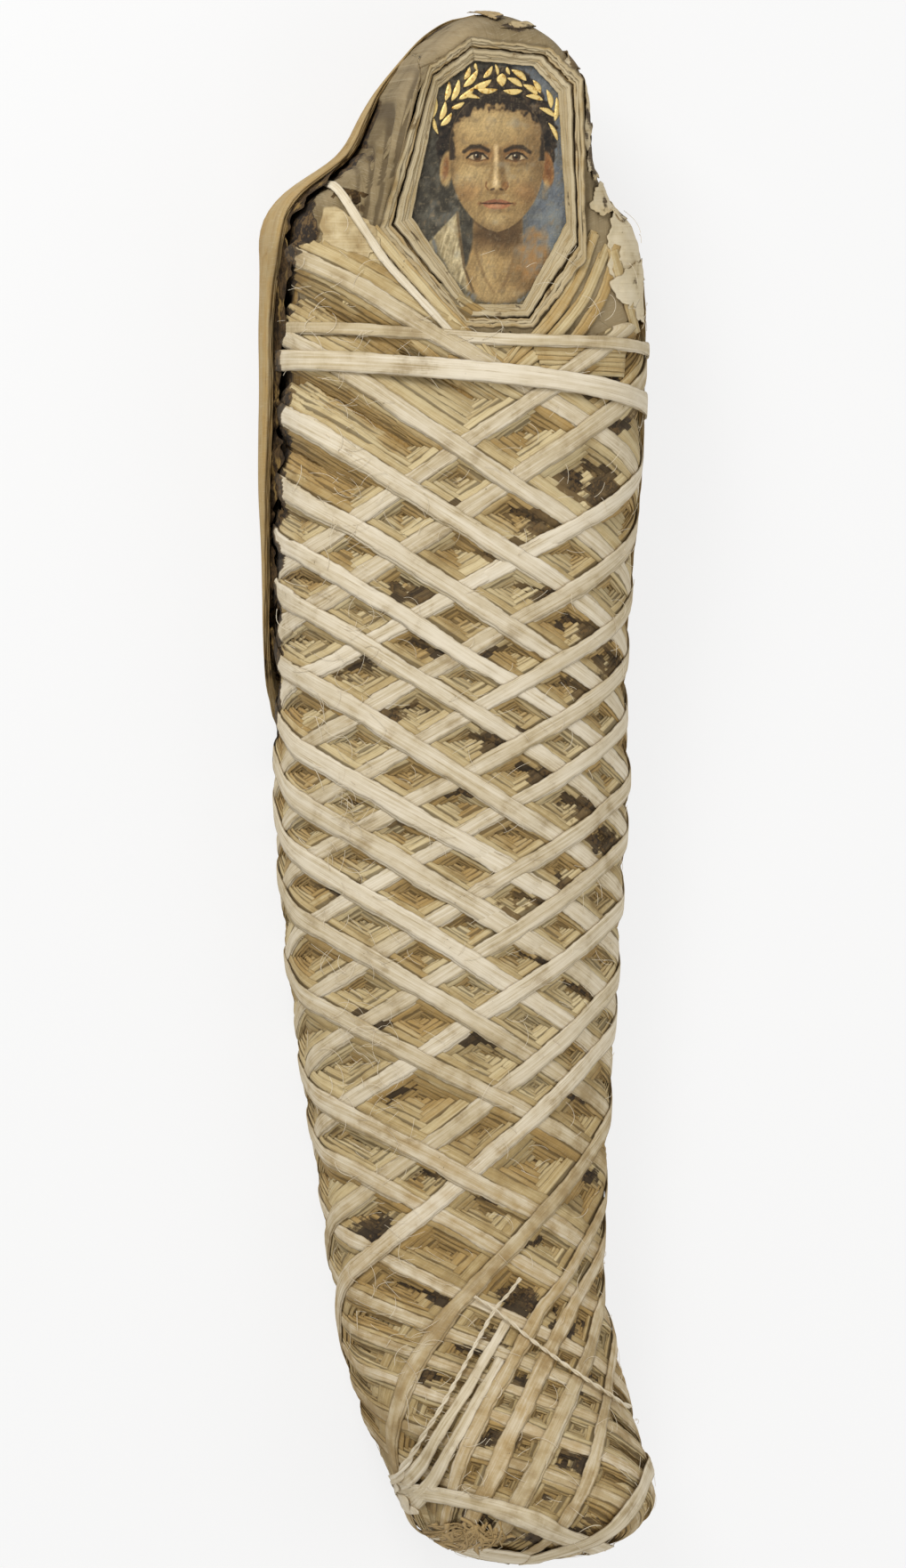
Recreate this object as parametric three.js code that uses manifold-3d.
// A wrapped mummy with a painted portrait panel over the face, in millimetres.
// It lies on its back: +Z is up, the head points along +Y, and +X is to the right when seen from above.
// The origin is on the ground under the middle of its outline.
// A body bundle lies in shaped linen packing, inside a linen back shroud like a shallow tray. Over the front
// comes a lattice of folded bandage that leaves diamond coffers, then crossing bandages, a hood and bands.

import * as THREE from "three";
import { mergeVertices } from "three/addons/utils/BufferGeometryUtils.js";
import Module from "manifold-3d";

const wasm = await Module();
wasm.setup();

// Overall shape. Each station is a section across the body, by its distance from the crown of the head:
// its middle, half its width over the back shroud, the height of the wrapping in front, the height where the
// section is widest, how square its shoulders are, and the room for tucked-in bandage at the sides.
const bodyLength = 1692;
const chestFromCrown = 435; // above this, the head and the portrait keep their own sizes
const listedStations = [
  { fromCrown: 0, centreX: 9, halfWidth: 86, front: 240, widest: 88, square: 5.0, pocket: 5.6 },
  { fromCrown: 48, centreX: 9, halfWidth: 98, front: 242, widest: 92, square: 5.6, pocket: 5.6 },
  { fromCrown: 75, centreX: 9, halfWidth: 107, front: 244, widest: 96, square: 5.8, pocket: 5.6 },
  { fromCrown: 120, centreX: 2, halfWidth: 119, front: 246, widest: 96, square: 5.4, pocket: 5.6 },
  { fromCrown: 170, centreX: -10, halfWidth: 137, front: 246, widest: 92, square: 4.6, pocket: 5.6 },
  { fromCrown: 215, centreX: -27, halfWidth: 180, front: 246, widest: 84, square: 3.9, pocket: 8 },
  { fromCrown: 245, centreX: -22, halfWidth: 205, front: 245, widest: 80, square: 3.6, pocket: 10.6 },
  { fromCrown: 290, centreX: -16, halfWidth: 212, front: 244, widest: 80, square: 3.5, pocket: 14.2 },
  { fromCrown: 435, centreX: -15, halfWidth: 213, front: 238, widest: 80, square: 3.2, pocket: 14.2 },
  { fromCrown: 630, centreX: -18, halfWidth: 207, front: 222, widest: 78, square: 2.5, pocket: 14.2 },
  { fromCrown: 845, centreX: -17, halfWidth: 197, front: 204, widest: 74, square: 2.3, pocket: 14.2 },
  { fromCrown: 1040, centreX: -15, halfWidth: 184, front: 188, widest: 70, square: 2.3, pocket: 14.2 },
  { fromCrown: 1235, centreX: -6, halfWidth: 164, front: 173, widest: 70, square: 2.3, pocket: 14.2 },
  { fromCrown: 1400, centreX: 3, halfWidth: 149, front: 176, widest: 72, square: 2.4, pocket: 14.2 },
  { fromCrown: 1438, centreX: 10, halfWidth: 150, front: 190, widest: 74, square: 2.45, pocket: 14.2 },
  { fromCrown: 1475, centreX: 18, halfWidth: 151, front: 210, widest: 76, square: 2.5, pocket: 14.2 },
  { fromCrown: 1545, centreX: 35, halfWidth: 146, front: 254, widest: 84, square: 2.6, pocket: 14.2 },
  { fromCrown: 1620, centreX: 58, halfWidth: 140, front: 290, widest: 98, square: 2.7, pocket: 14.2 },
  { fromCrown: 1660, centreX: 56, halfWidth: 133, front: 292, widest: 104, square: 2.7, pocket: 8 },
  { fromCrown: 1692, centreX: 44, halfWidth: 122, front: 288, widest: 106, square: 2.8, pocket: 4 },
];
const stations = fitList(listedStations);
const crownRoundPlan = 100; // the stretch over which the head end rounds off, seen from above
const crownRoundHeight = 36; // the same, seen from the side
const soleRoundPlan = 68;
const soleRoundHeight = 50;
const backSquare = 3.4; // how square the underside's corners are
const bendStart = 0.45; // the angles from the middle of the front between which it turns down to the sides
const bendEnd = 0.95;
const bentRowStep = 29; // the longest flat stretch of a bandage there
const flatRowStep = 54; // the same on the front
const longestRowStep = 85;
const backFlatCut = 5; // how much of the underside's curve is cut off to make the flat back

// Layers of the wrapping, from the packing outwards.
const shroudThick = 6;
const shroudGap = 0.5; // clearance between the packing and the back shroud
const frontPackingGap = 3.4; // clearance under the first layer over the packing, on the front
const sidePackingGap = 14; // the same at the sides, where the wrapping turns down
const sideSettle = 3; // how much lower the coffered wrapping lies there
const packingSplit = 0.4; // clearance between the pieces of packing
const layerGap = 0.5;
const sliverSize = 0.03; // features thinner than this are trimmed away
const cofferThick = 4.9;
const bandageThick = 1.3;
const bandageWidth = 21;
const crossingLift = 2.7; // how much higher a bandage lies where it passes over another
const cofferShare = 0.31; // half a lattice bar's width, as a share of the bandages' spacing
const bandageLift = cofferThick + 3.4 * layerGap;
const topOfBandages = bandageLift + crossingLift + bandageThick;
const tuckDepth = 9; // how far the wrapping runs on below the shroud's rim
const pocketFloor = 17; // the room for it ends at this height

// The height of the back shroud's rim, along the body.
const shroudRim = fitList([
  { fromCrown: 0, height: 36 },
  { fromCrown: 50, height: 52 },
  { fromCrown: 120, height: 84 },
  { fromCrown: 200, height: 80 },
  { fromCrown: 760, height: 74 },
  { fromCrown: 880, height: 57 },
  { fromCrown: 1400, height: 57 },
  { fromCrown: 1692, height: 60 },
]);

// The crossing bandages, by where each one crosses the middle of the front (mm from the crown) and its slope.
const bandagesFromLeft = fitBandages([
  { at: 389, slope: 0.58 },
  { at: 497, slope: 0.64 },
  { at: 574, slope: 0.61 },
  { at: 651, slope: 0.61 },
  { at: 712, slope: 0.61 },
  { at: 769, slope: 0.62 },
  { at: 845, slope: 0.62 },
  { at: 915, slope: 0.58 },
  { at: 976, slope: 0.6 },
  { at: 1038, slope: 0.62 },
  { at: 1101, slope: 0.61 },
  { at: 1173, slope: 0.54 },
  { at: 1278, slope: 0.55 },
  { at: 1340, slope: 0.58 },
  { at: 1416, slope: 0.56 },
  { at: 1466, slope: 0.48 },
  { at: 1504, slope: 0.42 },
  { at: 1546, slope: 0.42 },
]);
const bandagesFromRight = fitBandages([
  { at: 463, slope: 0.7 },
  { at: 537, slope: 0.66 },
  { at: 623, slope: 0.56 },
  { at: 693, slope: 0.58 },
  { at: 763, slope: 0.56 },
  { at: 826, slope: 0.55 },
  { at: 890, slope: 0.58 },
  { at: 965, slope: 0.6 },
  { at: 1029, slope: 0.62 },
  { at: 1099, slope: 0.64 },
  { at: 1194, slope: 0.74 },
  { at: 1255, slope: 0.82 },
  { at: 1375, slope: 1.0 },
  { at: 1477, slope: 1.12 },
  { at: 1521, slope: 1.14 },
]);
const swapAt = 42; // to the right of this line across the front, the bandages from the right lie on top
const wrapEnd = bodyLength - 46; // where the wrapping ends on the feet, from the crown

// The hood's lower edge, as corners seen from above: [x, distance from the crown].
const hoodEdge = [[-175, 275], [-125, 292], [-20, 378], [90, 378], [150, 330], [190, 286]];
const hoodEdgeGap = 0.6; // clearance between the hood's edge and the wrapping that begins there
const hoodThick = 2.6;
const hoodLift = 0.3;

// The portrait panel and the frame of folded strips round it, as corners seen from above.
const panelLength = 381;
const panelTopEdge = 52; // its top edge, from the crown
const panelLeftX = -99;
const panelRightX = 93;
const panelShoulder = 180; // its upper corners are cut off from here up
const panelCornerCut = 56;
const panelThick = 2.5;
const panelSink = 17; // how far its painted face lies below the packing's front
const panelClearance = 0.4;
const paintThick = 0.4;
const frameOuter = [
  [-30, 40], [56, 50], [92, 84], [96, 275], [38, 350], [-36, 350], [-129, 246], [-76, 72],
];
const frameInner = [
  [-24, 62], [42, 68], [70, 97], [79, 240], [30, 328], [-28, 328], [-95, 234], [-64, 92],
];
const frameJoint = 0.4; // clearance where two strips of the frame meet
const frameHigh = 15; // the frame's outer ledge, above the panel
const frameLow = 10; // its inner ledge

// The picture: a head and shoulders, and a gilded wreath over the hair.
const bustX = 2;
const headFromCrown = 158;
const headHalfWidth = 60;
const headHalfHeight = 82;
const neckHalfWidth = 33;
const shoulderHalfWidth = 84;
const shoulderFromCrown = 262;
const wreathRadius = 0.95 * headHalfWidth;
const wreathFromCrown = headFromCrown - 0.22 * headHalfHeight;
const wreathThick = 1;
const wreathStemWidth = 5;
const leafLength = 21;
const leafWidth = 10;
const leavesPerSide = 6;
const wreathSpan = 1.62; // the angle that each side of the wreath covers, in radians

// The bands and ties over everything, as [distance across from the middle of the front, from the crown].
const chestBandWidth = 12;
const lowerChestBandWidth = 20;
const tieWidth = 9;
const upperBandRoute = { left: 352, middle: [[-90, 357], [20, 364], [120, 366]], right: 374 };
const lowerBandRoute = { left: 384, middle: [[-90, 393], [20, 401], [110, 412]], right: 446 };
const shoulderTieRoute = { middle: [[-176, 214], [-112, 264], [-50, 314], [20, 372]] };
const ankleTieRoute = {
  middle: fitPlaces([[36, 1366], [0, 1404], [-38, 1446], [-84, 1500], [-118, 1548], [-176, 1612]]),
};
const ankleTieCrossing = {
  middle: fitPlaces([[-44, 1386], [0, 1432], [48, 1484], [110, 1528], [170, 1560]]),
};

// The bundle inside, by its distance from the crown.
const bundleSections = fitList([
  { fromCrown: 70, halfWidth: 30, halfHeight: 34, height: 104 },
  { fromCrown: 94, halfWidth: 60, halfHeight: 64, height: 104 },
  { fromCrown: 150, halfWidth: 76, halfHeight: 80, height: 106 },
  { fromCrown: 220, halfWidth: 64, halfHeight: 66, height: 104 },
  { fromCrown: 262, halfWidth: 58, halfHeight: 50, height: 100 },
  { fromCrown: 310, halfWidth: 150, halfHeight: 64, height: 100 },
  { fromCrown: 420, halfWidth: 164, halfHeight: 74, height: 100 },
  { fromCrown: 620, halfWidth: 150, halfHeight: 68, height: 96 },
  { fromCrown: 820, halfWidth: 146, halfHeight: 64, height: 90 },
  { fromCrown: 1000, halfWidth: 124, halfHeight: 56, height: 84 },
  { fromCrown: 1200, halfWidth: 98, halfHeight: 46, height: 78 },
  { fromCrown: 1400, halfWidth: 78, halfHeight: 42, height: 76 },
  { fromCrown: 1500, halfWidth: 74, halfHeight: 50, height: 90 },
  { fromCrown: 1590, halfWidth: 74, halfHeight: 82, height: 126 },
  { fromCrown: 1638, halfWidth: 62, halfHeight: 78, height: 126 },
]);
const bundleSides = 14;
const bundleClearance = 0.5;
const headPackingEnd = 380;
const footPackingStart = fitLength(1390);

// A listed distance from the crown, fitted to the body's own length: the lists are for a body that ends where
// the last listed station is.
function fitLength(listed) {
  const listedEnd = listedStations[listedStations.length - 1].fromCrown;
  const stretch = (bodyLength - chestFromCrown) / (listedEnd - chestFromCrown);
  return Math.min(listed, chestFromCrown) + Math.max(listed - chestFromCrown, 0) * stretch;
}

function fitList(list) {
  return list.map((item) => ({ ...item, fromCrown: fitLength(item.fromCrown) }));
}

function fitBandages(list) {
  return list.map((item) => ({ ...item, at: fitLength(item.at) }));
}

function fitPlaces(list) {
  return list.map(([across, fromCrown]) => [across, fitLength(fromCrown)]);
}

// Interpolation along the body

const midLength = bodyLength / 2;
const toY = (fromCrown) => midLength - fromCrown;

// A smooth curve through the values that a list of stations gives for one key.
function along(list, key, fromCrown) {
  const last = list.length - 1;
  const d = Math.min(Math.max(fromCrown, list[0].fromCrown), list[last].fromCrown);
  let k = 0;
  while (k < last - 1 && list[k + 1].fromCrown < d) k++;
  const x = (m) => list[Math.min(Math.max(m, 0), last)].fromCrown;
  const v = (m) => list[Math.min(Math.max(m, 0), last)][key];
  const tangent = (m) => (v(m + 1) - v(m - 1)) / Math.max(x(m + 1) - x(m - 1), 1);
  const step = x(k + 1) - x(k);
  const t = (d - x(k)) / step;
  return (
    v(k) * (2 * t ** 3 - 3 * t ** 2 + 1) +
    v(k + 1) * (3 * t ** 2 - 2 * t ** 3) +
    step * (tangent(k) * (t ** 3 - 2 * t ** 2 + t) + tangent(k + 1) * (t ** 3 - t ** 2))
  );
}

const clamp = (value, low, high) => Math.min(Math.max(value, low), high);

const roundEnd = (distance, stretch) => Math.sqrt(1 - (1 - clamp(distance / stretch, 0, 1)) ** 2);

const smooth = (low, high, value) => {
  const t = clamp((value - low) / (high - low), 0, 1);
  return t * t * (3 - 2 * t);
};

// The reference surface, which the first layer of wrapping lies on

const skinAt = (end) => shroudThick + shroudGap + end.pocket;
const crownStart = skinAt(stations[0]);
const soleEnd = bodyLength - skinAt(stations[stations.length - 1]);
const backHeight = shroudThick + shroudGap;

// The section at a distance from the crown.
function sectionAt(fromCrown) {
  const d = clamp(fromCrown, crownStart, soleEnd);
  const plan = roundEnd(d - crownStart, crownRoundPlan) * roundEnd(soleEnd - d, soleRoundPlan);
  const tall = roundEnd(d - crownStart, crownRoundHeight) * roundEnd(soleEnd - d, soleRoundHeight);
  const widest = along(stations, "widest", d);
  const pocket = along(stations, "pocket", d);
  return {
    centreX: along(stations, "centreX", d),
    halfWidth: (along(stations, "halfWidth", d) - shroudThick - shroudGap - pocket) * plan,
    widest,
    rise: (along(stations, "front", d) - topOfBandages - widest) * tall,
    drop: (widest - backHeight + backFlatCut) * tall,
    floor: widest - (widest - backHeight) * tall,
    square: along(stations, "square", d),
    pocket,
  };
}

// A point of it: the angle runs from 0 on the middle of the front to a quarter turn at the widest place.
function surfacePoint(fromCrown, angle) {
  const s = sectionAt(fromCrown);
  const isFront = Math.abs(angle) < Math.PI / 2;
  const power = 2 / (isFront ? s.square : backSquare);
  const across = Math.sign(Math.sin(angle)) * Math.abs(Math.sin(angle)) ** power;
  const up = Math.abs(Math.cos(angle)) ** power;
  const z = isFront ? s.widest + s.rise * up : Math.max(s.widest - s.drop * up, s.floor);
  return new THREE.Vector3(s.centreX + s.halfWidth * across, toY(fromCrown), z);
}

function surfaceNormal(fromCrown, angle) {
  const turn = 0.02;
  const low = clamp(fromCrown - 2, crownStart + 0.1, soleEnd - 4);
  const acrossBody = surfacePoint(fromCrown, angle + turn).sub(surfacePoint(fromCrown, angle - turn));
  const alongBody = surfacePoint(low + 4, angle).sub(surfacePoint(low, angle));
  return alongBody.cross(acrossBody).normalize();
}

function liftedPoint(fromCrown, angle, lift) {
  return surfacePoint(fromCrown, angle).addScaledVector(surfaceNormal(fromCrown, angle), lift);
}

// Distances across the front, measured along the surface from its middle
const girthSteps = 90;
const girthReach = 2.6;
const girthTables = new Map();

function girthTable(fromCrown) {
  const key = Math.round(fromCrown);
  if (!girthTables.has(key)) {
    const lengths = [0];
    let before = surfacePoint(key, 0);
    for (let k = 1; k <= girthSteps; k++) {
      const here = surfacePoint(key, (k / girthSteps) * girthReach);
      lengths.push(lengths[k - 1] + here.distanceTo(before));
      before = here;
    }
    girthTables.set(key, lengths);
  }
  return girthTables.get(key);
}

function angleAt(fromCrown, across) {
  const lengths = girthTable(fromCrown);
  const wanted = Math.min(Math.abs(across), lengths[girthSteps] - 1);
  let k = 1;
  while (lengths[k] < wanted) k++;
  const share = (wanted - lengths[k - 1]) / (lengths[k] - lengths[k - 1]);
  return (Math.sign(across) * (k - 1 + share) * girthReach) / girthSteps;
}

function acrossAt(fromCrown, angle) {
  const place = clamp((Math.abs(angle) / girthReach) * girthSteps, 0, girthSteps - 0.001);
  const k = Math.floor(place);
  const lengths = girthTable(fromCrown);
  return Math.sign(angle) * (lengths[k] + (lengths[k + 1] - lengths[k]) * (place - k));
}

// The angle where the surface is level with the back shroud's rim, or some way below it.
function rimAngle(fromCrown, below = 0) {
  const s = sectionAt(fromCrown);
  const height = along(shroudRim, "height", fromCrown) - below;
  if (height > s.widest) {
    const rise = clamp((height - s.widest) / s.rise, 0, 0.9);
    return Math.acos(rise ** (s.square / 2));
  }
  const depth = clamp((s.widest - height) / s.drop, 0, 0.9);
  return Math.PI / 2 + Math.asin(depth ** (backSquare / 2));
}

// The bandage grid: a place is given by its number among the bandages from the left and from the right

function bandageLine(list, number) {
  const k = clamp(Math.floor(number), 0, list.length - 2);
  const t = number - k;
  return {
    at: list[k].at + (list[k + 1].at - list[k].at) * t,
    slope: list[k].slope + (list[k + 1].slope - list[k].slope) * clamp(t, 0, 1),
  };
}

function gridPlace(left, right) {
  const a = bandageLine(bandagesFromLeft, left);
  const b = bandageLine(bandagesFromRight, right);
  const across = (b.at - a.at) / (a.slope + b.slope);
  return { across, fromCrown: a.at + a.slope * across };
}

function gridPoint(left, right, lift, settle = 0) {
  const { across, fromCrown } = gridPlace(left, right);
  const d = clamp(fromCrown, crownStart + 1, soleEnd - 1);
  const angle = angleAt(d, across);
  return liftedPoint(d, angle, lift - settle * sideShare(angle));
}

// How far the surface has turned down towards a side, from 0 on the front to 1.
const sideShare = (angle) => smooth(bendStart, bendEnd, Math.abs(angle));

// Mesh helpers

const newMesh = () => ({ points: [], faces: [] });

function addPoint(mesh, point) {
  mesh.points.push(point);
  return mesh.points.length - 1;
}

function addQuad(mesh, a, b, c, d) {
  mesh.faces.push([a, b, c], [a, c, d]);
}

// Whether four corners fold outwards along the line from the first to the third, rather than the other one.
function foldsAlongFirst([a, b, c, d], outward) {
  const ridge = a.clone().add(c).sub(b).sub(d);
  return ridge.dot(outward) > 0;
}

function toGeometry(mesh) {
  const flat = mesh.faces.flatMap((face) => face.flatMap((k) => mesh.points[k].toArray()));
  return new THREE.BufferGeometry().setAttribute("position", new THREE.Float32BufferAttribute(flat, 3));
}

function toSolid(geometry) {
  const bare = geometry.index ? geometry.toNonIndexed() : geometry.clone();
  bare.deleteAttribute("normal");
  bare.deleteAttribute("uv");
  const merged = mergeVertices(bare, 1e-3);
  return new wasm.Manifold(
    new wasm.Mesh({
      numProp: 3,
      vertProperties: merged.attributes.position.array,
      triVerts: new Uint32Array(merged.index.array),
    }),
  );
}

function fromSolid(solid) {
  const mesh = solid.getMesh();
  const flat = [];
  for (const k of mesh.triVerts) {
    for (let axis = 0; axis < 3; axis++) flat.push(mesh.vertProperties[k * mesh.numProp + axis]);
  }
  return new THREE.BufferGeometry().setAttribute("position", new THREE.Float32BufferAttribute(flat, 3));
}

// A sheet between an upper and a lower grid of points. Columns run to the right and rows towards the feet.
// Each patch is folded outwards, so that layers over each other stay clear.
function sheetBetween(upper, lower) {
  const mesh = newMesh();
  const rows = upper.length;
  const columns = upper[0].length;
  const top = upper.map((row) => row.map((p) => addPoint(mesh, p)));
  const under = lower.map((row) => row.map((p) => addPoint(mesh, p)));
  const right = columns - 1;
  const foot = rows - 1;
  for (let r = 0; r < foot; r++) {
    for (let c = 0; c < right; c++) {
      const places = [[r, c], [r + 1, c], [r + 1, c + 1], [r, c + 1]];
      const outward = upper[r][c].clone().sub(lower[r][c]);
      if (!foldsAlongFirst(places.map(([i, j]) => upper[i][j]), outward)) places.push(places.shift());
      addQuad(mesh, ...places.map(([i, j]) => top[i][j]));
      addQuad(mesh, ...[0, 3, 2, 1].map((k) => under[places[k][0]][places[k][1]]));
    }
    addQuad(mesh, top[r][0], under[r][0], under[r + 1][0], top[r + 1][0]);
    addQuad(mesh, top[r][right], top[r + 1][right], under[r + 1][right], under[r][right]);
  }
  for (let c = 0; c < right; c++) {
    addQuad(mesh, top[0][c], top[0][c + 1], under[0][c + 1], under[0][c]);
    addQuad(mesh, top[foot][c], under[foot][c], under[foot][c + 1], top[foot][c + 1]);
  }
  return toGeometry(mesh);
}

// A solid through closed rings of points, from the head to the feet, with flat ends.
function loftRings(rings) {
  const mesh = newMesh();
  const sides = rings[0].length;
  const ids = rings.map((ring) => ring.map((p) => addPoint(mesh, p)));
  const middleOf = (ring) => ring.reduce((sum, p) => sum.addScaledVector(p, 1 / sides), new THREE.Vector3());
  for (let r = 0; r < rings.length - 1; r++) {
    const centre = middleOf(rings[r]);
    for (let c = 0; c < sides; c++) {
      const next = (c + 1) % sides;
      const places = [[r, c], [r + 1, c], [r + 1, next], [r, next]];
      const outward = rings[r][c].clone().sub(centre);
      if (!foldsAlongFirst(places.map(([i, j]) => rings[i][j]), outward)) places.push(places.shift());
      addQuad(mesh, ...places.map(([i, j]) => ids[i][j]));
    }
  }
  const addCap = (ring, ringIds, isLast) => {
    const hub = addPoint(mesh, middleOf(ring));
    for (let c = 0; c < sides; c++) {
      const edge = [ringIds[c], ringIds[(c + 1) % sides]];
      mesh.faces.push(isLast ? [edge[0], hub, edge[1]] : [hub, edge[0], edge[1]]);
    }
  };
  addCap(rings[0], ids[0], false);
  addCap(rings[rings.length - 1], ids[rings.length - 1], true);
  return toGeometry(mesh);
}

// A prism from corners seen from above, as [x, distance from the crown], between two heights.
function prism(corners, low, high) {
  const shape = new THREE.Shape(corners.map(([x, fromCrown]) => new THREE.Vector2(x, toY(fromCrown))));
  const geometry = new THREE.ExtrudeGeometry(shape, { depth: high - low, bevelEnabled: false });
  return geometry.translate(0, 0, low);
}

// The same with an elliptical outline.
function ellipsePrism(x, fromCrown, halfWidth, halfLength, low, high) {
  const shape = new THREE.Shape();
  shape.absellipse(x, toY(fromCrown), halfWidth, halfLength, 0, 2 * Math.PI, false);
  const settings = { depth: high - low, bevelEnabled: false, curveSegments: 10 };
  return new THREE.ExtrudeGeometry(shape, settings).translate(0, 0, low);
}

// An outline pushed outwards by a distance. Its corners run from the upper left to the upper right, and on.
function grownOutline(corners, grow) {
  const points = corners.map(([x, y]) => new THREE.Vector2(x, y));
  const count = points.length;
  return points.map((p, k) => {
    const before = points[(k + count - 1) % count];
    const after = points[(k + 1) % count];
    const n1 = new THREE.Vector2(p.y - before.y, before.x - p.x).normalize();
    const n2 = new THREE.Vector2(after.y - p.y, p.x - after.x).normalize();
    const bisector = n1.add(n2).normalize();
    const reach = grow / bisector.dot(n2);
    return [p.x + bisector.x * reach, p.y + bisector.y * reach];
  });
}

// Rows along the body, shared by all the long pieces: at the stations, closer where the ends round off, and
// no further apart than the longest step.
function bodyRows() {
  const nearEnds = [0.6, 5, 17, 40, 74];
  const rounded = nearEnds.map((d) => crownStart + d).concat(nearEnds.map((d) => soleEnd - d));
  const isFree = (d) => rounded.every((r) => Math.abs(r - d) > 12) && d > crownStart && d < soleEnd;
  const fixed = [...rounded, ...stations.map((s) => s.fromCrown).filter(isFree)].sort((a, b) => a - b);
  return fixed.flatMap((d, k) => {
    if (k === fixed.length - 1) return [d];
    const parts = Math.ceil((fixed[k + 1] - d) / longestRowStep);
    return Array.from({ length: parts }, (_, m) => d + ((fixed[k + 1] - d) * m) / parts);
  });
}

const allRows = bodyRows();
const packingStart = allRows[0];
const packingEnd = allRows[allRows.length - 1];
const rowsBetween = (start, end) => [start, ...allRows.filter((d) => d > start + 3 && d < end - 3), end];

// Finishes

const finish = (color, roughness = 0.9, metalness = 0) =>
  new THREE.MeshStandardMaterial({ color, roughness, metalness });
const finishes = {
  bandage: finish(0xc4b48f),
  paleBandage: finish(0xd0c3a0),
  coffer: finish(0xb29d70),
  shroud: finish(0xb9a57b),
  hood: finish(0xc6b894),
  packing: finish(0x8a7044),
  bundle: finish(0x6e5532),
  wood: finish(0x5d4529, 0.7),
  ground: finish(0x59564e, 0.6),
  skin: finish(0xa98652, 0.55),
  gold: finish(0xd3a544, 0.3, 0.9),
};

const mummy = new THREE.Group();

// The largest of the bodies that trimming may leave of a piece, without its slivers.
function mainBody(solid) {
  const bodies = solid.asOriginal().simplify(sliverSize).decompose();
  return bodies.sort((a, b) => b.volume() - a.volume())[0];
}

function addPiece(name, shape, material) {
  const geometry = shape.isBufferGeometry ? shape : fromSolid(mainBody(shape));
  geometry.computeVertexNormals();
  const mesh = new THREE.Mesh(geometry, material);
  mesh.name = name;
  mummy.add(mesh);
}

// The portrait's heights, from the front of the packing in the middle of the panel
const panelMiddle = panelTopEdge + panelLength / 2;
const frontHeight = (fromCrown) => surfacePoint(fromCrown, 0).z;
const panelFace = frontHeight(panelMiddle) - panelSink;
const panelBack = panelFace - panelThick;
const frameBottom = panelFace + paintThick + frameJoint;
const frameTop = panelFace + frameHigh;
const skyHeight = panelFace + 200; // above everything on the head
const bedDepth = panelFace - 60; // below the lowest edge of the hood's opening

// The bundle and the packing round it

function bundleGeometry(extra) {
  const last = bundleSections.length - 1;
  const rings = bundleSections.map((s, k) => {
    const endShift = k === 0 ? -extra : k === last ? extra : 0;
    const centreX = along(stations, "centreX", s.fromCrown);
    return Array.from({ length: bundleSides }, (_, side) => {
      const angle = (side / bundleSides) * 2 * Math.PI;
      return new THREE.Vector3(
        centreX + (s.halfWidth + extra) * Math.sin(angle),
        toY(s.fromCrown + endShift),
        s.height + (s.halfHeight + extra) * Math.cos(angle),
      );
    });
  });
  return loftRings(rings);
}

// How far the packing lies below the reference surface: more at the sides, least on the back.
function packingGapAt(angle) {
  const turn = Math.abs(angle);
  if (turn <= Math.PI / 2) return frontPackingGap + (sidePackingGap - frontPackingGap) * sideShare(angle);
  return sidePackingGap * (1 - smooth(2.7, 3.05, turn));
}

// A half of the packing, front or back of the widest level: each ring is closed across by a straight line.
function packingHalf(start, end, isFront) {
  const columns = isFront ? 16 : 10;
  const from = isFront ? -Math.PI / 2 : Math.PI / 2;
  const rings = rowsBetween(start, end).map((d) =>
    Array.from({ length: columns + 1 }, (_, c) => {
      const angle = from + (c / columns) * Math.PI;
      const wrapped = angle > Math.PI ? angle - 2 * Math.PI : angle;
      const p = liftedPoint(d, wrapped, -packingGapAt(wrapped));
      p.z += isFront ? packingSplit : 0;
      return p;
    }),
  );
  return loftRings(rings);
}

// The panel's outline, with its upper corners cut off, grown by a clearance.
function panelOutline(grow) {
  const corners = [
    [panelLeftX + panelCornerCut, panelTopEdge],
    [panelRightX - panelCornerCut, panelTopEdge],
    [panelRightX - panelCornerCut / 2, panelTopEdge + panelCornerCut / 2],
    [panelRightX, panelShoulder],
    [panelRightX, panelTopEdge + panelLength],
    [panelLeftX, panelTopEdge + panelLength],
    [panelLeftX, panelShoulder],
    [panelLeftX + panelCornerCut / 2, panelTopEdge + panelCornerCut / 2],
  ];
  return grownOutline(corners, grow);
}

const bundleCavity = toSolid(bundleGeometry(bundleClearance));
const panelPocket = toSolid(
  prism(panelOutline(panelClearance), panelBack - panelClearance, panelFace + paintThick + panelClearance),
);
const frameSpace = toSolid(prism(grownOutline(frameOuter, frameJoint), frameBottom - frameJoint, skyHeight));

function addPacking() {
  addPiece("body_bundle", bundleGeometry(0), finishes.bundle);
  const back = toSolid(packingHalf(packingStart, packingEnd, false)).subtract(bundleCavity);
  addPiece("back_packing", back, finishes.packing);
  const pieces = [
    ["head_packing", packingStart, headPackingEnd - packingSplit],
    ["trunk_packing", headPackingEnd, footPackingStart - packingSplit],
    ["foot_packing", footPackingStart, packingEnd],
  ];
  for (const [name, start, end] of pieces) {
    const whole = toSolid(packingHalf(start, end, true));
    const hollowed = whole.subtract(bundleCavity).subtract(panelPocket).subtract(frameSpace);
    addPiece(name, hollowed, finishes.packing);
  }
}
addPacking();

// The back shroud, a shallow tray of layered linen with its rim along both sides

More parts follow.
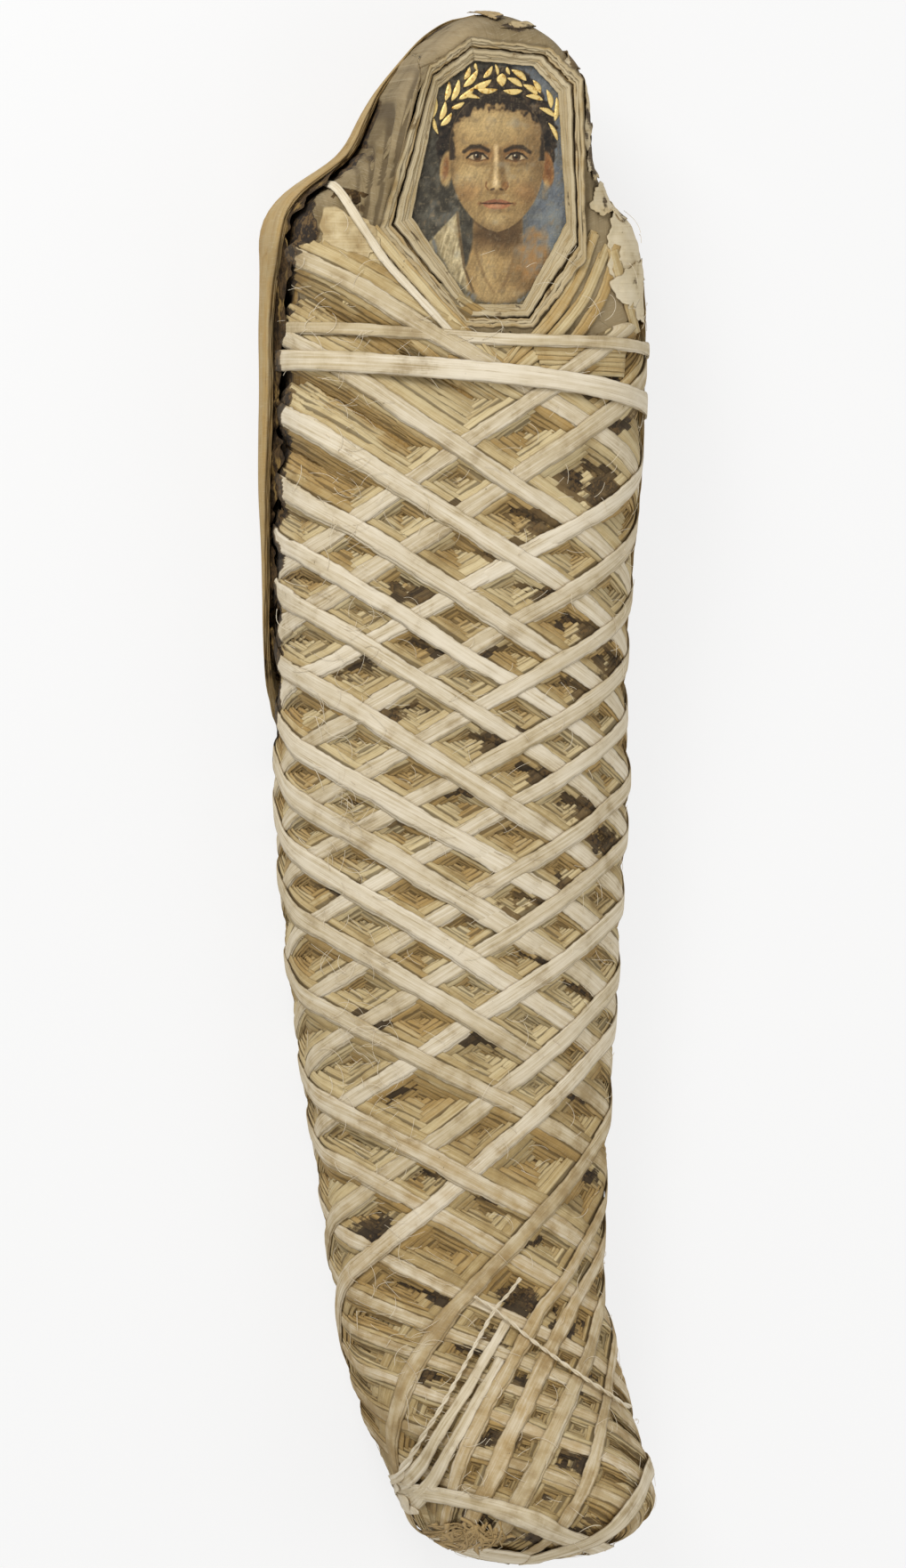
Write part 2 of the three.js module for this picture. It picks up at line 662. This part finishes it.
function addBackShroud() {
  const columns = 14;
  const inner = [];
  const outer = [];
  for (const d of allRows) {
    const rim = rimAngle(d);
    const { pocket } = sectionAt(d);
    const innerRow = [];
    const outerRow = [];
    for (let c = 0; c <= columns; c++) {
      const turned = rim + (c / columns) * 2 * (Math.PI - rim);
      const angle = turned > Math.PI ? turned - 2 * Math.PI : turned;
      const room = pocket * smooth(pocketFloor / 2, pocketFloor, surfacePoint(d, angle).z);
      innerRow.push(liftedPoint(d, angle, room + shroudGap));
      const outerPoint = liftedPoint(d, angle, room + shroudGap + shroudThick);
      outerPoint.z = Math.max(outerPoint.z, 0);
      outerRow.push(outerPoint);
    }
    inner.push(innerRow);
    outer.push(outerRow);
  }
  addPiece("back_shroud", sheetBetween(outer, inner), finishes.shroud);
}
addBackShroud();

// Regions that the front layers are trimmed to

const farX = 400;

// Everything above the level where the wrapping ends inside the shroud's pocket.
function tuckRegion() {
  const lines = allRows.map((d) => {
    const height = Math.max(along(shroudRim, "height", d) - tuckDepth, pocketFloor + 2);
    return new THREE.Vector2(toY(d), height);
  });
  const farHead = new THREE.Vector2(midLength + 100, lines[0].y);
  const farFeet = new THREE.Vector2(-midLength - 100, lines[lines.length - 1].y);
  const sky = [new THREE.Vector2(farFeet.x, skyHeight), new THREE.Vector2(farHead.x, skyHeight)];
  const shape = new THREE.Shape([farHead, ...lines, farFeet, ...sky]);
  const geometry = new THREE.ExtrudeGeometry(shape, { depth: 2 * farX, bevelEnabled: false });
  geometry.rotateX(Math.PI / 2).rotateZ(Math.PI / 2).translate(-farX, 0, 0);
  return toSolid(geometry);
}

const aboveTuck = tuckRegion();
const leftCorner = [-farX, hoodEdge[0][1]];
const rightCorner = [farX, hoodEdge[hoodEdge.length - 1][1]];
const hoodPlan = [[-farX, -100], leftCorner, ...hoodEdge, rightCorner, [farX, -100]];
const hoodRegion = toSolid(prism(hoodPlan, 0, skyHeight));
const shiftedEdge = [leftCorner, ...hoodEdge, rightCorner].map(([x, d]) => [x, d + hoodEdgeGap]);
const wrapFoot = [[farX, wrapEnd], [-farX, wrapEnd]];
const wrapRegion = toSolid(prism([...shiftedEdge, ...wrapFoot], 0, skyHeight)).intersect(aboveTuck);

// The hood: linen over the head and shoulders, with an opening for the portrait

function frontSheet(start, end, columns, lift, thick) {
  const upper = [];
  const lower = [];
  for (const d of rowsBetween(start, end)) {
    const reach = rimAngle(d, 2 * tuckDepth);
    const angles = Array.from({ length: columns + 1 }, (_, c) => -reach + (c / columns) * 2 * reach);
    upper.push(angles.map((angle) => liftedPoint(d, angle, lift + thick)));
    lower.push(angles.map((angle) => liftedPoint(d, angle, lift)));
  }
  return toSolid(sheetBetween(upper, lower));
}

function addHood() {
  const lowest = Math.max(...hoodEdge.map(([, d]) => d)) + 10;
  const opening = toSolid(prism(grownOutline(frameOuter, frameJoint), bedDepth, skyHeight));
  const cloth = frontSheet(packingStart, lowest, 16, hoodLift, hoodThick);
  const hood = cloth.intersect(aboveTuck).intersect(hoodRegion).subtract(opening);
  addPiece("hood", hood, finishes.hood);
}
addHood();

// The linen cap over the toes, where the crossing bandages end
function addFootCap() {
  const cloth = frontSheet(wrapEnd + hoodEdgeGap, packingEnd, 16, hoodLift, hoodThick);
  addPiece("foot_cap", cloth.intersect(aboveTuck), finishes.hood);
}
addFootCap();

// The portrait: a thin wooden panel, its painted ground and bust, and the gilded wreath

// A leaf seen from above, pointed at both ends.
function leafPrism(x, fromCrown, direction, low) {
  const corners = [[-0.5, 0], [-0.05, 0.5], [0.5, 0], [-0.05, -0.5]];
  const turned = corners.map(([lengthways, aside]) => {
    const forward = lengthways * leafLength;
    const sideways = aside * leafWidth;
    return [
      x + forward * Math.cos(direction) - sideways * Math.sin(direction),
      fromCrown - forward * Math.sin(direction) - sideways * Math.cos(direction),
    ];
  });
  return toSolid(prism(turned, low, low + wreathThick));
}

// The wreath rises from behind each ear to the top of the hair: a stem with a leaf on either side of it.
function wreathSolid(low) {
  const stemShape = new THREE.Shape();
  const start = Math.PI / 2 - wreathSpan;
  const finishAngle = Math.PI / 2 + wreathSpan;
  const outerRadius = wreathRadius + wreathStemWidth / 2;
  stemShape.absarc(bustX, toY(wreathFromCrown), outerRadius, start, finishAngle, false);
  stemShape.absarc(bustX, toY(wreathFromCrown), outerRadius - wreathStemWidth, finishAngle, start, true);
  const settings = { depth: wreathThick, bevelEnabled: false, curveSegments: 12 };
  let wreath = toSolid(new THREE.ExtrudeGeometry(stemShape, settings).translate(0, 0, low));
  for (const side of [-1, 1]) {
    for (let k = 0; k < leavesPerSide; k++) {
      const angle = Math.PI / 2 + side * wreathSpan * (0.16 + (0.8 * k) / (leavesPerSide - 1));
      for (const lean of [-1, 1]) {
        const radius = wreathRadius + lean * leafWidth * 0.5;
        const x = bustX + radius * Math.cos(angle);
        const fromCrown = wreathFromCrown - radius * Math.sin(angle);
        const direction = angle - side * (Math.PI / 2 + 0.5 * lean);
        wreath = wreath.add(leafPrism(x, fromCrown, direction, low));
      }
    }
  }
  const jewel = ellipsePrism(bustX, wreathFromCrown - wreathRadius, 10, 7, low, low + 1.6 * wreathThick);
  return wreath.add(toSolid(jewel));
}

function addPortrait() {
  const groundTop = panelFace + paintThick;
  const bustTop = groundTop + paintThick;
  const window = grownOutline(frameInner, -frameJoint);
  const inWindow = toSolid(prism(window, panelFace, skyHeight));
  const neck = [
    [bustX - neckHalfWidth, headFromCrown],
    [bustX - neckHalfWidth, shoulderFromCrown + 40],
    [bustX + neckHalfWidth, shoulderFromCrown + 40],
    [bustX + neckHalfWidth, headFromCrown],
  ];
  const head = toSolid(ellipsePrism(bustX, headFromCrown, headHalfWidth, headHalfHeight, groundTop, bustTop));
  const shoulders = toSolid(
    ellipsePrism(bustX, shoulderFromCrown + 60, shoulderHalfWidth, 60, groundTop, bustTop),
  );
  const bust = head.add(toSolid(prism(neck, groundTop, bustTop))).add(shoulders).intersect(inWindow);
  addPiece("portrait_panel", prism(panelOutline(0), panelBack, panelFace), finishes.wood);
  addPiece("painted_ground", prism(panelOutline(0), panelFace, groundTop), finishes.ground);
  addPiece("painted_bust", bust, finishes.skin);
  addPiece("gilded_wreath", wreathSolid(bustTop), finishes.gold);
}
addPortrait();

// The frame round the portrait: eight folded strips, each with an outer ledge and a lower inner one

function addFrame() {
  const names = ["top", "upper_right", "right", "lower_right", "bottom", "lower_left", "left", "upper_left"];
  const flush = toSolid(packingEnvelope(hoodLift + hoodThick));
  const slab = toSolid(prism([[-farX, -100], [-farX, 600], [farX, 600], [farX, -100]], 0, frameBottom));
  const panelSpace = toSolid(prism(panelOutline(panelClearance), bedDepth - 1, frameBottom));
  const bed = toSolid(packingEnvelope(2 * layerGap - frontPackingGap)).intersect(slab).add(panelSpace);
  const between = (p, q, share) => [p[0] + (q[0] - p[0]) * share, p[1] + (q[1] - p[1]) * share];
  names.forEach((name, k) => {
    const next = (k + 1) % names.length;
    const inset = (p, q) => between(p, q, frameJoint / 2 / Math.hypot(q[0] - p[0], q[1] - p[1]));
    const outer = [inset(frameOuter[k], frameOuter[next]), inset(frameOuter[next], frameOuter[k])];
    const inner = [inset(frameInner[k], frameInner[next]), inset(frameInner[next], frameInner[k])];
    const middle = [between(outer[0], inner[0], 0.5), between(outer[1], inner[1], 0.5)];
    const ledge = (edge, top) => toSolid(prism([edge[0], outer[0], outer[1], edge[1]], bedDepth, top));
    const strip = ledge(inner, panelFace + frameLow).add(ledge(middle, frameTop));
    addPiece("frame_" + name, strip.intersect(flush).subtract(bed), finishes.paleBandage);
  });
}

// The front of the body out to a lift over the reference surface, over the head and chest.
function packingEnvelope(lift) {
  const columns = 16;
  const rings = rowsBetween(packingStart, panelTopEdge + panelLength).map((d) =>
    Array.from({ length: columns + 1 }, (_, c) =>
      liftedPoint(d, -Math.PI / 2 + (c / columns) * Math.PI, lift),
    ),
  );
  return loftRings(rings);
}
addFrame();

// The coffered wrapping: a lattice of folded bandage with a diamond hole in each cell of the grid

// How far outside its region a layer is made before it is trimmed, at the sides and at the ends.
const cellReach = 4;
const endReach = 36;
const bandageReach = 16;

function isNearWrap({ across, fromCrown }, sideways, lengthways) {
  if (fromCrown < hoodEdge[0][1] - lengthways || fromCrown > wrapEnd + lengthways) return false;
  return Math.abs(across) < acrossAt(fromCrown, rimAngle(fromCrown, tuckDepth)) + sideways;
}

const isCell = (left, right) => isNearWrap(gridPlace(left + 0.5, right + 0.5), cellReach, endReach);

function cellNumbers() {
  const numbers = [];
  for (let n = -12; n < bandagesFromLeft.length + 12; n++) {
    for (let m = -12; m < bandagesFromRight.length + 12; m++) {
      if (isCell(n, m)) numbers.push([n, m]);
    }
  }
  return numbers;
}

// Each cell has a patch at its crossing, two bars that run on to the next ones, and the walls of its hole.
function cofferLattice() {
  const mesh = newMesh();
  const ids = new Map();
  const pointId = (left, right, isUpper) => {
    const key = [Math.round(left * 1000), Math.round(right * 1000), isUpper].join();
    if (!ids.has(key)) {
      ids.set(key, addPoint(mesh, gridPoint(left, right, isUpper ? cofferThick : 0, sideSettle)));
    }
    return ids.get(key);
  };
  const lines = (n) => [n - cofferShare, n + cofferShare, n + 1 - cofferShare];
  const isFilled = (n, m, u, v) => (u === 0 || v === 0) && isCell(n, m);
  for (const [n, m] of cellNumbers()) {
    const a = lines(n);
    const b = lines(m);
    for (const [u, v] of [[0, 0], [1, 0], [0, 1]]) {
      const id = (du, dv, isUpper) => pointId(a[u + du], b[v + dv], isUpper);
      const isOpenTo = (du, dv) => {
        const nn = n + Math.floor((u + du) / 2);
        const mm = m + Math.floor((v + dv) / 2);
        return !isFilled(nn, mm, (u + du + 2) % 2, (v + dv + 2) % 2);
      };
      const wall = (p, q) => addQuad(mesh, id(...p, true), id(...q, true), id(...q, false), id(...p, false));
      const corners = [[0, 0], [1, 0], [1, 1], [0, 1]];
      const tops = corners.map((corner) => mesh.points[id(...corner, true)]);
      const outward = tops[0].clone().sub(mesh.points[id(0, 0, false)]);
      if (!foldsAlongFirst(tops, outward)) corners.push(corners.shift());
      addQuad(mesh, ...corners.map((corner) => id(...corner, true)));
      addQuad(mesh, ...[0, 3, 2, 1].map((k) => id(...corners[k], false)));
      if (isOpenTo(-1, 0)) wall([0, 0], [0, 1]);
      if (isOpenTo(1, 0)) wall([1, 1], [1, 0]);
      if (isOpenTo(0, -1)) wall([1, 0], [0, 0]);
      if (isOpenTo(0, 1)) wall([0, 1], [1, 1]);
    }
  }
  return toSolid(toGeometry(mesh)).intersect(wrapRegion);
}
addPiece("coffer_wrap", cofferLattice(), finishes.coffer);

// The crossing bandages

// The lift of a bandage from the left, or from the right, where it meets one of the others.
function crossingHeight(isFromLeft, left, right) {
  const { across } = gridPlace(left, right);
  const isOver = across < swapAt === isFromLeft;
  return bandageLift + (isOver ? crossingLift : 0);
}

function bandage(number, isFromLeft) {
  const own = isFromLeft ? bandagesFromLeft : bandagesFromRight;
  const spacing = bandageLine(own, number + 0.5).at - bandageLine(own, number - 0.5).at;
  const slant = Math.cos(Math.atan(own[number].slope));
  const halfShare = bandageWidth / 2 / (spacing * slant);
  const place = (aside, other) => (isFromLeft ? [number + aside, other] : [other, number + aside]);
  const sides = isFromLeft ? [halfShare, -halfShare] : [-halfShare, halfShare];
  const upper = [];
  const lower = [];
  for (let crossing = -12; crossing < 40; crossing++) {
    if (!isNearWrap(gridPlace(...place(0, crossing)), bandageReach, bandageReach)) continue;
    const { across, fromCrown } = gridPlace(...place(0, crossing));
    const isBent = Math.abs(angleAt(clamp(fromCrown, crownStart, soleEnd), across)) > bendStart;
    const lift = crossingHeight(isFromLeft, ...place(0, crossing));
    const crossingStart = gridPoint(...place(0, crossing - cofferShare), lift);
    const crossingLength = gridPoint(...place(0, crossing + cofferShare), lift).distanceTo(crossingStart);
    const steps = Math.ceil(crossingLength / (isBent ? bentRowStep : flatRowStep));
    for (let k = 0; k <= steps; k++) {
      const shift = cofferShare * ((2 * k) / steps - 1);
      const rows = sides.map((aside) => place(aside, crossing + shift));
      upper.push(rows.map((row) => gridPoint(...row, lift + bandageThick)));
      lower.push(rows.map((row) => gridPoint(...row, lift)));
    }
  }
  return toSolid(sheetBetween(upper, lower)).intersect(wrapRegion);
}

function addBandages() {
  const label = (k) => String(k + 1).padStart(2, "0");
  bandagesFromLeft.forEach((_, k) =>
    addPiece("bandage_left_" + label(k), bandage(k, true), finishes.bandage),
  );
  bandagesFromRight.forEach((_, k) =>
    addPiece("bandage_right_" + label(k), bandage(k, false), finishes.paleBandage),
  );
}
addBandages();

// The bands and ties over everything

// A strip along a route, whose ends may be tucked in at the left and right rim.
function routeStrip(route, width, lift) {
  const rimPlace = (side, d) => [side * (acrossAt(d, rimAngle(d, tuckDepth)) + cellReach), d];
  const places = [...route.middle];
  if (route.left) places.unshift(rimPlace(-1, route.left));
  if (route.right) places.push(rimPlace(1, route.right));
  const line = new THREE.CatmullRomCurve3(places.map(([across, d]) => new THREE.Vector3(across, -d, 0)));
  const steps = Math.max(4, Math.round(line.getLength() / 22));
  const upper = [];
  const lower = [];
  for (let k = 0; k <= steps; k++) {
    const p = line.getPointAt(k / steps);
    const t = line.getTangentAt(k / steps);
    const row = [-0.5, 0.5].map((aside) => [p.x - t.y * aside * width, -(p.y + t.x * aside * width)]);
    const at = ([across, d], rise) => liftedPoint(d, angleAt(d, across), rise);
    upper.push(row.map((place) => at(place, lift + bandageThick)));
    lower.push(row.map((place) => at(place, lift)));
  }
  return toSolid(sheetBetween(upper, lower)).intersect(aboveTuck);
}

function addBands() {
  const bandLift = topOfBandages + 2 * layerGap;
  const strips = [
    ["chest_band_upper", upperBandRoute, chestBandWidth, bandLift],
    ["chest_band_lower", lowerBandRoute, lowerChestBandWidth, bandLift],
    ["shoulder_tie", shoulderTieRoute, tieWidth, hoodLift + hoodThick + 4 * layerGap],
    ["ankle_tie_under", ankleTieRoute, tieWidth, bandLift],
    ["ankle_tie_over", ankleTieCrossing, tieWidth, bandLift + bandageThick + layerGap],
  ];
  for (const [name, route, width, lift] of strips) {
    addPiece(name, routeStrip(route, width, lift), finishes.paleBandage);
  }
}
addBands();

// The origin goes on the ground under the middle of the outline
const outline = new THREE.Box3().setFromObject(mummy);
const middle = outline.getCenter(new THREE.Vector3());
for (const mesh of mummy.children) mesh.geometry.translate(-middle.x, -middle.y, -outline.min.z);

export default mummy;
